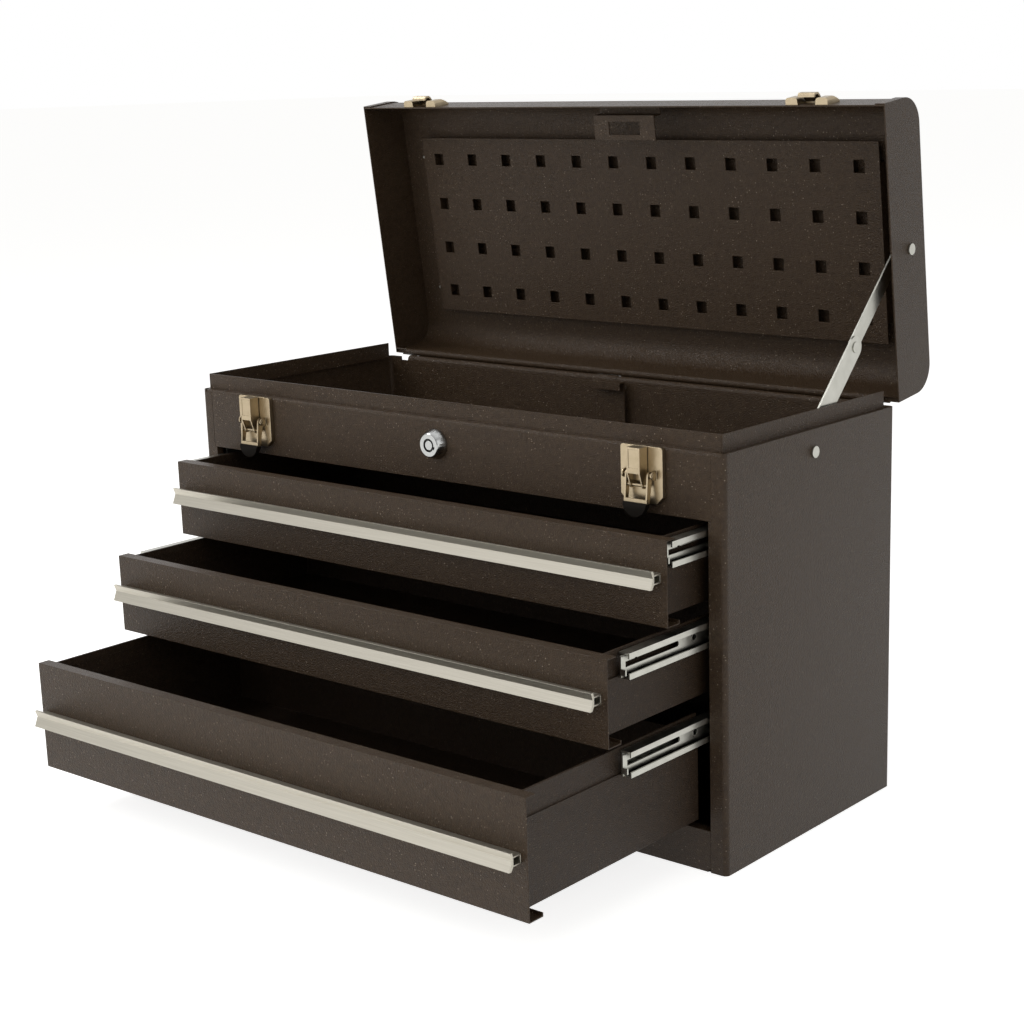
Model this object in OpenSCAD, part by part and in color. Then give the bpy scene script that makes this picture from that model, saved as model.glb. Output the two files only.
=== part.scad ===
// A three-drawer machinist tool chest of folded sheet steel, with its lid open on the stay
// and its drawers pulled out in steps. Millimetres, +Z up, the front faces -Y, and the
// origin is the middle of the cabinet's bottom.

/* [Cabinet] */
// Width over the side walls
chest_w = 511; // [440:1:640]
// Depth from the front to the back wall
chest_d = 216; // [200:1:300]
// Height of the cabinet up to the step that the lid closes on
cabinet_h = 293; // [285:1:340]
// Thickness of the sheet steel
sheet = 1.0; // [0.8:0.1:1.2]
// Outside radius of the vertical corners
bend_r = 4; // [3:0.5:6]
// Width of each front stile beside the drawers
stile_w = 13.3; // [13:0.1:16]
// Height of the front panel under the step
panel_h = 46; // [44:1:60]
// Height of the rail under the bottom drawer
rail_h = 30.2; // [20:0.1:40]
// Height of the rim above the step
rim_h = 12; // [8:1:14]
// How far the rim stands inside the outer faces
rim_in = 4.5; // [4:0.5:6]
// How far the side rims stop short of the back
rim_stop = 8; // [6:1:20]

/* [Lid] */
// Height of the closed lid
lid_h = 47; // [46:1:70]
// Radius of the lid's long top corners
lid_r = 20; // [14:1:24]
// Angle that the open lid has turned from closed
lid_open = 83; // [75:1:88]
// Gap between the closed lid and the cabinet's step
lid_gap = 0.4; // [0.3:0.1:1]
// Width of the end caps' flange that laps the lid
cap_flange = 8; // [5:1:12]

/* [Tool board] */
// Spacing of the square holes
hole_pitch = 38.1; // [36:0.1:38.1]
// Side of a square hole
hole_side = 9.5; // [6:0.5:12]
// Space between the board's ends and the lid's end caps
board_end = 27.5; // [20:0.5:40]
// Space between the board's edges and the lid's front and back
board_edge = 30.5; // [26:0.5:36]
// Least margin between a hole and the board's edge
hole_margin = 12; // [6:0.5:12]
// Depth of the board's face behind the lid's opening
board_in = 36.8; // [34:0.2:37]

/* [Hinge] */
// Outside radius of the knuckles
knuckle_r = 3.6; // [3.4:0.1:3.8]
// Radius of the wire pin
pin_r = 2.4; // [2:0.1:2.5]
// Radial clearance of the pin
pin_fit = 0.05; // [0.02:0.01:0.1]
// Width of the short cabinet knuckle near the middle
mid_knuckle_w = 24; // [15:1:40]

/* [Drawers] */
// Gap between a drawer's front and each stile
side_gap = 2.2; // [1.5:0.1:3]
// Gap over the top and the middle drawer
drawer_gap = 4.6; // [4:0.1:5]
// Gap over the bottom drawer
bottom_gap = 6.4; // [4:0.1:8]
// Clearance under the bottom drawer's front
foot_gap = 1.2; // [1:0.1:4]
// How far the top drawer is pulled out
top_out = 43; // [0:1:95]
// How far the middle drawer is pulled out
middle_out = 106.8; // [96:0.1:180]
// How far the bottom drawer is pulled out
bottom_out = 187.5; // [99:0.1:187.5]

/* [Slides] */
// Height of an intermediate runner
slide_h = 17.5; // [16:0.5:18]
// How far a runner comes out of the cabinet
runner_travel = 90; // [80:0.5:95]
// Length of a runner
runner_len = 188; // [150:1:190]
// Thickness of the slide members
slide_t = 1.2; // [1:0.1:1.4]
// Running gap between slide members
slide_gap = 0.45; // [0.3:0.05:0.5]

/* [Pulls] */
// How far a pull stops short of each end of its drawer
pull_end = 4.8; // [3:0.1:40]
// Height of a pull's front
pull_h = 12.2; // [11:0.1:14]
// How far a pull stands off the drawer front
pull_out = 11.5; // [8:0.5:14]
// Depth of the valley along a pull
pull_valley = 3; // [0:0.5:3.5]

/* [Latches] */
// Distance of each latch from the side of the chest
latch_in = 65; // [45:0.5:110]
// Width of a latch plate
latch_w = 35; // [32:0.5:40]
// Height of a latch plate
latch_h = 38.8; // [37:0.1:40]

/* [Lock] */
// Distance of the lock's axis under the step
lock_drop = 19; // [18:0.5:20]
// Diameter of the lock's face
lock_face_d = 18; // [17:0.5:20]
// Diameter of the lock's base
lock_base_d = 22.5; // [21:0.5:26]
// How far the lock stands out
lock_out = 8; // [6:0.5:10]

/* [Stay] */
// Distance of the stay's lower pivot under the step
stay_drop = 16; // [14:0.5:20]
// Distance of the stay's upper pivot over the lid's opening
stay_lid_up = 26.6; // [24:0.2:28]
// Width of the lower link
lower_link_w = 16; // [12:0.5:16]
// Width of the upper link
upper_link_w = 12; // [10:0.5:14]
// Thickness of the links
link_t = 1.5; // [1.2:0.1:1.6]

/* [Handle] */
// Distance between the bail's legs
bail_w = 132; // [100:1:160]
// Reach of the bail from its pivots
bail_reach = 40; // [34:1:50]
// Radius of the bail's wire
bail_r = 3.5; // [3:0.1:4]
// Radius of the grip
grip_r = 7; // [6:0.5:7]

/* [Hidden] */
$fn = 48;
over = 1;
fit = 0.15;
air = 0.4;

paint = "#4b4037";
paint_dark = "#3a3128";
alloy = "#cfcabd";
nickel = "#b3a78f";
zinc = "#b5b5ae";
chrome = "#d8dadc";
black = "#1c1a18";

// Cabinet places
half_w = chest_w / 2;
half_d = chest_d / 2;
in_w = half_w - sheet;
in_d = half_d - sheet;
opening_x = half_w - stile_w;
panel_z = cabinet_h - panel_h;
panel_lap = 2.3;
panel_x = opening_x + panel_lap;
panel_lip = 9;
rim_x = half_w - rim_in;
rim_y = half_d - rim_in;
rim_z = cabinet_h + rim_h;
stile_hem = 5;
rail_lip = 8;
floor_z = panel_z + sheet;
notch_side = 2;
back_low = 3.1;
back_end = 13.5;
step_r = 3;

// Drawer places, top to bottom, each drawer with its share of the opening's height
drawer_out = [top_out, middle_out, bottom_out];
drawer_h_shares = [0.293, 0.298, 0.409];
fronts_h = panel_z - rail_h - foot_gap - 2 * drawer_gap - bottom_gap;
drawer_h = fronts_h * drawer_h_shares;
drawer_base = [
    panel_z - drawer_gap - drawer_h[0],
    panel_z - 2 * drawer_gap - drawer_h[0] - drawer_h[1],
    rail_h + foot_gap
];
drawer_top = drawer_base + drawer_h;
front_x = opening_x - side_gap;
pull_x = front_x - pull_end;
hem_d = 9.5;
hem_lip = 4;
channel_d = 13.5;
channel_lip = 5.5;
channel_return = 3;
wall_in = 9;
wall_x = front_x - wall_in;
belly = 1.2;
tray_gap = 27.5;
tray_back = in_d - tray_gap;
back_drop = 14;
side_hem = 6;
hem_t = 0.8;

// Pull section, shared by the drawers
pull_skin = 1.4;
pull_lip = 2.2;
pull_web = 1;
pull_web_up = 2.8;
pull_lean = 1.2;
pull_crease = 1.2;
pull_up_shares = [0.568, 0.555, 0.512];

// Slide places, shared by both sides
slide_drop = 1.4;
rail_flange = 4.4;
web_x = wall_x + rail_flange + slide_gap;
runner_x0 = wall_x + slide_t + slide_gap;
runner_x1 = web_x + slide_t + rail_flange - slide_gap;
cabinet_rail_x0 = web_x + slide_t + slide_gap;
cabinet_rail_x1 = runner_x1 + slide_gap + slide_t;
nest_h = slide_h - 2 * slide_t - 2 * slide_gap;
ledge_drop = slide_drop + slide_h / 2 + nest_h / 2 + fit;
runner_lip = 3.8;
crown_h = slide_h - 2 * runner_lip - 2 * slide_gap;
tip_gap = 0.4;
tip_len = 3.6;
tab_len = 4.6;
tab_h = 4;
slot_start = 4.6;
slot_len = 57;
slot_h = 3.8;
slot_up = 0.7;
dimple_at = 15.5;
dimple_r = 1.2;
eye_at = 78.5;
eye_r = 2.2;
eye_ring = 1;
eye_out = 0.3;
drawer_rail_at = 105;
drawer_rail_stop = 3;
cabinet_rail_start = 8;
cabinet_rail_stop = 10;
post_w = 20;
post_front = 9;
post_back = 12;
runner_out = [for (out = drawer_out) min(out, runner_travel)];
slide_z = [for (top = drawer_top) top - slide_drop - slide_h / 2];

// Lid places, with the lid closed
lid_z = cabinet_h + lid_gap;
lid_top = lid_z + lid_h;
wrap_y = half_d - sheet;
wrap_top = lid_top - sheet;
wrap_x = half_w - sheet;
hinge_back = 0.3;
hinge_low = 0.8;
hinge_y = half_d + hinge_back + knuckle_r;
hinge_z = cabinet_h + hinge_low - knuckle_r;
bore_r = pin_r + pin_fit;
knuckle_gap = 0.4;
mid_knuckle_x = -27;
end_knuckle_w = 6.6;
leaf_t = 1.2;
leaf_h = 20;
hinge_in = 19.5;
end_knuckle_x = half_w - sheet - hinge_in - end_knuckle_w;
hem_r = 2.8;
hem_in = 1.8;
hem_up = 0.3;
hem_gap = 0.4;
hem_y = half_d - hem_in;
hem_z = lid_z + hem_up;

// Tool board places
board_x = wrap_x - board_end;
board_y = wrap_y - sheet - board_edge;
board_z = lid_z + board_in;
hole_cols = 1 + floor((2 * board_x - 2 * hole_margin - hole_side) / hole_pitch);
hole_rows = 1 + floor((2 * board_y - 2 * hole_margin - hole_side) / hole_pitch);
board_leg_w = 12;
board_leg_in = 6;
board_leg_stop = 15.5;
board_leg_y = board_y - board_leg_stop;

// Lock and its strike
lock_z = cabinet_h - lock_drop;
lock_barrel_r = 8;
lock_barrel_len = 15;
lock_bore_r = 4.9;
lock_post_r = 3.5;
lock_plug_r = 4.8;
lock_key_depth = 5;
lock_notch = 2.2;
lock_skirt = 1.5;
nut_af = 22;
nut_t = 3;
plug_shaft_r = 3;
cam_t = 1.6;
cam_w = 6.4;
cam_hub_r = 6.5;
cam_len = 32;
cam_rest = 110;
tooth_from = 28.4;
tooth_w = 4.8;
cam_back = 2;
cam_y = -in_d + lock_barrel_len + cam_back;
strike_x0 = -10;
strike_x1 = 49;
strike_t = 1.2;
strike_over = 2.4;
strike_up = 8;
strike_step = 6;
strike_y = -wrap_y + sheet;
strike_behind = 3.3;
strike_drop_y = -rim_y + sheet + strike_behind;
strike_len = 19;
strike_slot_x0 = 4.5;
strike_slot_w = 30;
strike_slot_y = cam_y + cam_t / 2;
strike_slot_d = 10;

// Latches: x from the latch's middle, y outward from the panel
latch_x = half_w - latch_in;
plate_t = 1.0;
plate_out = 3.6;
plate_top = cabinet_h - fit;
plate_cut = 5;
plate_r = 2;
pivot_lift = 2.9;
pivot_y = plate_out + pivot_lift;
pivot_drop = 18.85;
pivot_z = plate_top - pivot_drop;
ear_x0 = 11.4;
ear_t = 1.2;
ear_r = 3;
stub_r = 1.5;
stub_bore = 1.55;
stub_head = 0.5;
leg_x = 8.4;
leg_t = 1.2;
leg_r = 2.6;
leg_w = 3.2;
lever_drop = 19;
lever_lean = 1.8;
lever_bar_h = 3;
foot_z = pivot_z - lever_drop;
foot_y = pivot_y + leg_r + lever_lean;
hasp_pin_drop = 7;
hasp_pin_y = 7.4;
hasp_pin_r = 1.3;
hasp_bore = 1.35;
hasp_x = 5.5;
hasp_t = 1.0;
hasp_out = 12.7;
hasp_gap = 0.5;
hasp_in = plate_out + hasp_gap;
hasp_eye_r = 2.4;
hood_up = 1.3;
press_in = 1.4;
press_low = 3.6;
press_d = 0.35;
tab_x = 9.8;
tab_drop = 9;
tab_t = 1.6;
tab_lap = 0.6;

// Latch strikes on the lid
catch_w = 35.5;
catch_h = 16.5;
catch_base = 1.2;
catch_out = 5.2;
catch_side = 10;
catch_r = 2.5;
catch_slope_share = 0.6;
catch_up = 1.1;
hook_w = 14;
hook_out = 8.5;
hook_t = 1.4;
hook_back = 10;
hook_shoulder = 7.2;
hook_side = 5.5;
hook_inside = 5;
hook_lip = 3;
hook_tip = 1.8;

// Stay: pivots in the plane beside the right wall
stay_y = 0;
stay_z = cabinet_h - stay_drop;
stay_lid_z = lid_z + stay_lid_up;
stay_in = 6.7;
stay_x = half_w - stay_in;
upper_x = stay_x - link_t - air;
stay_open_y = hinge_y + (stay_y - hinge_y) * cos(lid_open) + (stay_lid_z - hinge_z) * sin(lid_open);
stay_open_z = hinge_z - (stay_y - hinge_y) * sin(lid_open) + (stay_lid_z - hinge_z) * cos(lid_open);
stay_angle = atan2(stay_open_z - stay_z, stay_open_y - stay_y);
link_len = norm([stay_open_y - stay_y, stay_open_z - stay_z]) / 2;
rivet_r = 2.5;
rivet_bore = 2.55;
rivet_head_r = 4.2;
rivet_head_t = 1.5;
spacer_r = 4.5;
elbow_head_r = 4;
elbow_head_t = 0.8;

// Lock bar at the back of the drawers
bar_mid = -3;
bar_x = 14.5;
bar_t = 1.2;
bar_in = 6;
bar_y = in_d - bar_in;
bar_top_drop = 1.5;
bar_foot = 34;
bar_lip = 6;
bar_lip_h = 6.5;
finger_h = 1.2;
finger_air = 1.2;
finger_tip = 5.5;
finger_reach = 3;
guide_x = 17.5;
guide_h = 9;
guide_high = 46;
guide_low = 60;
bar_notch = 1.5;
bar_slot = 3;

// Handle on the lid's top
bail_bend = 12;
grip_air = 1.2;
bail_up = grip_r + grip_air;
bail_bore = bail_r + pin_fit;
bail_pin = 16;
bracket_w = 12;
bracket_t = 2.4;
bracket_foot = 26;
grip_w = 92;

// Box between two corners
module slab(x0, x1, y0, y1, z0, z1) {
    translate([x0, y0, z0])
        cube([x1 - x0, y1 - y0, z1 - z0]);
}

// Round bar along X, and along Y
module x_rod(r, x0, x1, y, z) {
    translate([x0, y, z])
        rotate([0, 90, 0])
            cylinder(r = r, h = x1 - x0);
}

module y_rod(r, y0, y1, x, z) {
    translate([x, y0, z])
        rotate([-90, 0, 0])
            cylinder(r = r, h = y1 - y0);
}

// Outline in (y, z) drawn out along X, and outline in (x, z) drawn out along Y
module along_x(x0, x1) {
    translate([x0, 0, 0])
        rotate([90, 0, 90])
            linear_extrude(x1 - x0)
                children();
}

module along_y(y0, y1) {
    translate([0, y1, 0])
        rotate([90, 0, 0])
            linear_extrude(y1 - y0)
                children();
}

module both_sides() {
    children();
    mirror([1, 0, 0])
        children();
}

// Rectangle of half sizes a and b with round corners
module rounded(a, b, r) {
    square([2 * (a - r), 2 * b], center = true);
    square([2 * a, 2 * (b - r)], center = true);
    for (x = [-1, 1], y = [-1, 1])
        translate([x * (a - r), y * (b - r)])
            circle(r = r);
}

// Lid outline in (y, z): square foot, round top corners
module lid_outline(y, z0, z1, r) {
    translate([-y, z0])
        square([2 * y, z1 - r - z0]);
    translate([-(y - r), z0])
        square([2 * (y - r), z1 - z0]);
    for (side = [-1, 1])
        translate([side * (y - r), z1 - r])
            circle(r = r);
}

// What the lid carries turns about the hinge from its closed place
module on_lid() {
    translate([0, hinge_y, hinge_z])
        rotate([-lid_open, 0, 0])
            translate([0, -hinge_y, -hinge_z])
                children();
}

module on_drawer(i) {
    translate([0, -drawer_out[i], 0])
        children();
}

module on_runner(i) {
    translate([0, -runner_out[i], 0])
        children();
}

// Cabinet

module cabinet_shell() {
    color(paint)
        difference() {
            union() {
                difference() {
                    linear_extrude(cabinet_h)
                        rounded(half_w, half_d, bend_r);
                    translate([0, 0, -over])
                        linear_extrude(cabinet_h + 2 * over)
                            rounded(in_w, in_d, bend_r - sheet);
                    slab(-opening_x, opening_x, -half_d - over, -in_d + over, -over, cabinet_h + over);
                    slab(-panel_x - fit, panel_x + fit, -half_d - over, -in_d + over,
                        panel_z - fit, cabinet_h + over);
                }
                both_sides() {
                    side_rim();
                    slab(opening_x, opening_x + sheet, -half_d + sheet / 2, -in_d + stile_hem,
                        rail_h, panel_z - fit);
                }
            }
            x_rod(rivet_bore, in_w - over, half_w + over, stay_y, stay_z);
            slab(-half_w + back_end, half_w - back_end, in_d - over, half_d + over,
                cabinet_h - back_low, cabinet_h + over);
            both_sides()
                along_x(panel_x + fit / 2, half_w - bend_r)
                    step_corner();
        }
}

// Outline in (y, z) outside the bend between the front and its step, and outline of the bend itself
module step_corner() {
    difference() {
        translate([-half_d - over, cabinet_h - step_r])
            square(step_r + over);
        translate([-half_d + step_r, cabinet_h - step_r])
            circle(r = step_r);
    }
}

module step_bend() {
    intersection() {
        translate([-half_d, cabinet_h - step_r])
            square(step_r);
        difference() {
            translate([-half_d + step_r, cabinet_h - step_r])
                circle(r = step_r);
            translate([-half_d + step_r, cabinet_h - step_r])
                circle(r = step_r - sheet);
        }
    }
}

// The step and the rim over one side wall, with the stile's own piece of step
module side_rim() {
    slab(rim_x - sheet, half_w - sheet / 2, -rim_y, half_d - rim_stop, cabinet_h - sheet, cabinet_h);
    slab(rim_x - sheet, rim_x, -rim_y, half_d - rim_stop, cabinet_h - sheet, rim_z);
    slab(panel_x + fit, half_w - bend_r, -half_d + sheet / 2, -rim_y + over, cabinet_h - sheet, cabinet_h);
    along_x(panel_x + fit, half_w - bend_r)
        step_bend();
}

module front_panel() {
    color(paint)
        difference() {
            union() {
                slab(-panel_x, panel_x, -half_d, -in_d, panel_z, cabinet_h - step_r);
                slab(-panel_x, panel_x, -half_d + step_r, -rim_y + sheet, cabinet_h - sheet, cabinet_h);
                along_x(-panel_x, panel_x)
                    step_bend();
                slab(-panel_x, panel_x, -half_d, -half_d + panel_lip, panel_z, panel_z + sheet);
                slab(-rim_x + sheet + fit, rim_x - sheet - fit, -rim_y, -rim_y + sheet, cabinet_h, rim_z);
            }
            y_rod(lock_barrel_r + fit, -half_d - over, -in_d + over, 0, lock_z);
        }
}

module base_rail() {
    rail_x = opening_x - fit;
    color(paint)
        difference() {
            union() {
                slab(-rail_x, rail_x, -half_d, -in_d, 0, rail_h);
                slab(-rail_x, rail_x, -half_d, -half_d + rail_lip, rail_h - sheet, rail_h);
            }
            for (side = [-1, 1])
                translate([side * rail_x, -half_d, 0])
                    cube([2 * notch_side, 4 * sheet, 2 * notch_side], center = true);
        }
}

module base_pan() {
    color(paint_dark)
        linear_extrude(sheet)
            rounded(in_w, in_d, bend_r - sheet);
}

module till_floor() {
    color(paint_dark)
        difference() {
            translate([0, 0, floor_z])
                linear_extrude(sheet)
                    rounded(in_w, in_d, bend_r - sheet);
            slab(bar_mid - bar_x - bar_notch, bar_mid + bar_x + bar_notch, bar_y - bar_slot, in_d + over,
                floor_z - over, floor_z + sheet + over);
        }
}

// Upright channels that carry the cabinet rails
module slide_posts() {
    color(zinc)
        both_sides()
            for (y = [-in_d + post_front, in_d - post_back - post_w]) {
                slab(cabinet_rail_x1, cabinet_rail_x1 + sheet, y, y + post_w, sheet, panel_z);
                for (edge = [y, y + post_w - sheet])
                    slab(cabinet_rail_x1, in_w, edge, edge + sheet, sheet, panel_z);
            }
}

// Hat section for a cabinet rail: the crown stands between the runner's lips, the brims behind them
module hat_section() {
    depth = cabinet_rail_x1 - cabinet_rail_x0;
    translate([cabinet_rail_x1 - slide_t, -crown_h / 2])
        square([slide_t, crown_h]);
    for (side = [-1, 1])
        scale([1, side]) {
            translate([cabinet_rail_x0, crown_h / 2 - slide_t])
                square([depth, slide_t]);
            translate([cabinet_rail_x0, crown_h / 2 - slide_t])
                square([slide_t, (nest_h - crown_h) / 2 + slide_t]);
        }
}

module cabinet_rails() {
    color(zinc)
        for (z = slide_z)
            translate([0, 0, z])
                along_y(-half_d + cabinet_rail_start, in_d - cabinet_rail_stop)
                    hat_section();
}

module cabinet_rails_right() {
    cabinet_rails();
}

module cabinet_rails_left() {
    mirror([1, 0, 0])
        cabinet_rails();
}

// Hinge

module knuckle(x0, x1) {
    difference() {
        x_rod(knuckle_r, x0, x1, hinge_y, hinge_z);
        x_rod(bore_r, x0 - over, x1 + over, hinge_y, hinge_z);
    }
}

module hinge_leaf(x0, x1) {
    knuckle(x0, x1);
    difference() {
        slab(x0, x1, half_d, half_d + leaf_t, hinge_z - leaf_h, hinge_z);
        x_rod(bore_r, x0 - over, x1 + over, hinge_y, hinge_z);
    }
}

module hinge_leaves() {
    color(paint) {
        hinge_leaf(mid_knuckle_x, mid_knuckle_x + mid_knuckle_w);
        both_sides()
            hinge_leaf(end_knuckle_x, end_knuckle_x + end_knuckle_w);
    }
}

module hinge_pin() {
    color(zinc)
        x_rod(pin_r, -end_knuckle_x - end_knuckle_w, end_knuckle_x + end_knuckle_w, hinge_y, hinge_z);
}

// Lid

module lid_roll(x0, x1) {
    knuckle(x0, x1);
    difference() {
        slab(x0, x1, wrap_y - sheet, hinge_y, lid_z, lid_z + sheet);
        x_rod(bore_r, x0 - over, x1 + over, hinge_y, hinge_z);
    }
}

// Rolled hem along the lid's back edge, cut clear of the end caps, the cabinet and its knuckles
module lid_hem() {
    end_x = half_w - back_end - knuckle_gap;
    low_z = hem_z - hem_r - over;
    high_z = hem_z + hem_r + over;
    clear_r = knuckle_r + hem_gap;
    difference() {
        x_rod(hem_r, -wrap_x, wrap_x, hem_y, hem_z);
        both_sides() {
            slab(half_w - cap_flange - fit, half_w, wrap_y, hinge_y, low_z, high_z);
            slab(end_x, half_w, hem_y - hem_r - over, hinge_y, low_z, lid_z);
            x_rod(clear_r, end_knuckle_x - knuckle_gap, end_knuckle_x + end_knuckle_w + knuckle_gap,
                hinge_y, hinge_z);
        }
        x_rod(clear_r, mid_knuckle_x - knuckle_gap, mid_knuckle_x + mid_knuckle_w + knuckle_gap,
            hinge_y, hinge_z);
        for (x = [mid_knuckle_x - 2 * knuckle_gap, mid_knuckle_x + mid_knuckle_w])
            slab(x, x + 2 * knuckle_gap, wrap_y, hinge_y, low_z, high_z);
    }
}

module lid_shell() {
    color(paint)
        on_lid()
            difference() {
                union() {
                    along_x(-wrap_x, wrap_x)
                        difference() {
                            lid_outline(wrap_y, lid_z, wrap_top, lid_r - sheet);
                            lid_outline(wrap_y - sheet, lid_z - over, wrap_top - sheet, lid_r - 2 * sheet);
                        }
                    lid_hem();
                    lid_roll(-end_knuckle_x + knuckle_gap, mid_knuckle_x - knuckle_gap);
                    lid_roll(mid_knuckle_x + mid_knuckle_w + knuckle_gap, end_knuckle_x - knuckle_gap);
                }
                x_rod(hem_r - sheet, -wrap_x - over, wrap_x + over, hem_y, hem_z);
            }
}

// End plate whose flange laps the wrapped shell
module lid_cap() {
    difference() {
        along_x(half_w - cap_flange, half_w)
            lid_outline(half_d, lid_z, lid_top, lid_r);
        along_x(half_w - cap_flange - over, half_w - sheet)
            lid_outline(wrap_y, lid_z - over, wrap_top, lid_r - sheet);
    }
}

module lid_cap_right() {
    color(paint)
        on_lid()
            difference() {
                lid_cap();
                x_rod(rivet_r, in_w - over, half_w + over, stay_y, stay_lid_z);
            }
}

module lid_cap_left() {
    color(paint)
        on_lid()
            mirror([1, 0, 0])
                lid_cap();
}

module tool_board() {
    color(paint)
        on_lid()
            difference() {
                slab(-board_x, board_x, -board_y, board_y, board_z, board_z + sheet);
                for (i = [0 : hole_cols - 1], j = [0 : hole_rows - 1])
                    translate([
                        (i - (hole_cols - 1) / 2) * hole_pitch,
                        (j - (hole_rows - 1) / 2) * hole_pitch,
                        board_z
                    ])
                        cube([hole_side, hole_side, 4 * sheet], center = true);
            }
}

module tool_board_channels() {
    leg_x1 = board_x - board_leg_in + board_leg_w / 2;
    leg_x0 = leg_x1 - board_leg_w;
    leg_z0 = board_z + sheet;
    leg_z1 = wrap_top - sheet;
    color(paint)
        on_lid()
            both_sides() {
                slab(leg_x0, leg_x1, -board_leg_y, board_leg_y, leg_z0, leg_z0 + sheet);
                for (x = [leg_x0, leg_x1 - sheet])
                    slab(x, x + sheet, -board_leg_y, board_leg_y, leg_z0, leg_z1);
            }
}

// Z bracket that brings a slotted plate down behind the rim
module lock_strike() {
    shelf_z = lid_z + rim_h + strike_over;
    plate_z = lid_z + strike_step;
    color(paint)
        on_lid()
            difference() {
                union() {
                    slab(strike_x0, strike_x1, strike_y, strike_y + strike_t, shelf_z, shelf_z + strike_up);
                    slab(strike_x0, strike_x1, strike_y, strike_drop_y + strike_t,
                        shelf_z, shelf_z + strike_t);
                    slab(strike_x0, strike_x1, strike_drop_y, strike_drop_y + strike_t, plate_z, shelf_z);
                    slab(strike_x0, strike_x1, strike_drop_y, strike_drop_y + strike_len,
                        plate_z, plate_z + strike_t);
                }
                slab(strike_slot_x0, strike_slot_x0 + strike_slot_w,
                    strike_slot_y - strike_slot_d / 2, strike_slot_y + strike_slot_d / 2,
                    plate_z - over, plate_z + strike_t + over);
            }
}

// Latch strike: pressed plate with raised sides and a curled hook between them
module latch_strike() {
    z0 = lid_z + catch_up;
    side_x = catch_w / 2 - catch_side;
    color(nickel)
        translate([latch_x, -wrap_y, z0]) {
            difference() {
                slab(-catch_w / 2, catch_w / 2, -catch_base, 0, 0, catch_h);
                slab(-hook_w / 2 - air, hook_w / 2 + air, -catch_base - over, over, -over, hook_back);
            }
            for (side = [-1, 1])
                intersection() {
                    translate([side * (side_x + catch_side / 2), 0, 0])
                        linear_extrude(catch_h)
                            intersection() {
                                rounded(catch_side / 2, catch_out, catch_r);
                                translate([-catch_side / 2, -catch_out])
                                    square([catch_side, catch_out]);
                            }
                    along_x(-catch_w / 2, catch_w / 2)
                        polygon([
                            [0, 0], [-catch_out, 0], [-catch_out, catch_h * catch_slope_share],
                            [-catch_base, catch_h], [0, catch_h]
                        ]);
                }
            along_x(-hook_w / 2, hook_w / 2)
                polygon([
                    [0, hook_back + hook_t], [-catch_base, hook_back + hook_t],
                    [-hook_out + hook_t, hook_shoulder], [-hook_out, hook_side],
                    [-hook_out, hook_t], [-hook_out + hook_t, 0], [-hook_out + hook_lip, 0],
                    [-hook_out + hook_lip, hook_t], [-hook_out + hook_t, hook_tip],
                    [-hook_out + hook_t, hook_inside], [-catch_base, hook_back], [0, hook_back]
                ]);
        }
}

module latch_strike_right() {
    on_lid()
        latch_strike();
}

module latch_strike_left() {
    on_lid()
        translate([-2 * latch_x, 0, 0])
            latch_strike();
}

// Latches on the cabinet

module at_latches(side) {
    translate([side * latch_x, -half_d, 0])
        children();
}

// Outline of the plate, drawn in by a margin: round top corners, cut lower corners
module plate_outline(margin) {
    w = latch_w / 2 - margin;
    top = plate_top - margin;
    bottom = plate_top - latch_h + margin;
    polygon([
        [-w, top - plate_r], [w, top - plate_r], [w, bottom + plate_cut],
        [w - plate_cut, bottom], [-w + plate_cut, bottom], [-w, bottom + plate_cut]
    ]);
    for (side = [-1, 1])
        translate([side * (w - plate_r), top - plate_r])
            circle(r = plate_r);
    translate([-w + plate_r, top - 2 * plate_r])
        square([2 * (w - plate_r), 2 * plate_r]);
}

// Pressed pan with an ear on each side of the lever
module latch_plate(side) {
    color(nickel)
        at_latches(side)
            difference() {
                union() {
                    along_y(-plate_out, 0)
                        plate_outline(0);
                    both_sides()
                        along_x(ear_x0, ear_x0 + ear_t)
                            union() {
                                translate([-pivot_y, pivot_z])
                                    circle(r = ear_r);
                                translate([-pivot_y, pivot_z - ear_r])
                                    square([pivot_lift + plate_t / 2, 2 * ear_r]);
                            }
                }
                along_y(-plate_out + plate_t, over)
                    plate_outline(plate_t);
                both_sides()
                    x_rod(stub_r, ear_x0 - over, ear_x0 + ear_t + over, -pivot_y, pivot_z);
            }
}

module latch_plate_left() {
    latch_plate(-1);
}

module latch_plate_right() {
    latch_plate(1);
}

module latch_stubs() {
    color(nickel)
        for (side = [-1, 1])
            at_latches(side)
                both_sides() {
                    x_rod(stub_r, leg_x, ear_x0 + ear_t, -pivot_y, pivot_z);
                    x_rod(stub_r + stub_head, ear_x0 + ear_t, ear_x0 + ear_t + stub_head, -pivot_y, pivot_z);
                }
}

// Lever: two legs that lean out to a bar at the foot, and the hasp's pin between them
module latch_lever(side) {
    color(nickel)
        at_latches(side) {
            both_sides()
                difference() {
                    along_x(leg_x, leg_x + leg_t)
                        union() {
                            translate([-pivot_y, pivot_z])
                                circle(r = leg_r);
                            polygon([
                                [-pivot_y - leg_r, pivot_z], [-foot_y, foot_z],
                                [-foot_y + leg_w, foot_z], [-pivot_y + leg_r, pivot_z]
                            ]);
                        }
                    x_rod(stub_bore, leg_x - over, leg_x + leg_t + over, -pivot_y, pivot_z);
                }
            x_rod(hasp_pin_r, -leg_x - leg_t, leg_x + leg_t, -hasp_pin_y, pivot_z - hasp_pin_drop);
            slab(-leg_x - leg_t, leg_x + leg_t, -foot_y, -foot_y + leg_t, foot_z, foot_z + lever_bar_h);
        }
}

module latch_lever_left() {
    latch_lever(-1);
}

module latch_lever_right() {
    latch_lever(1);
}

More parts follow.
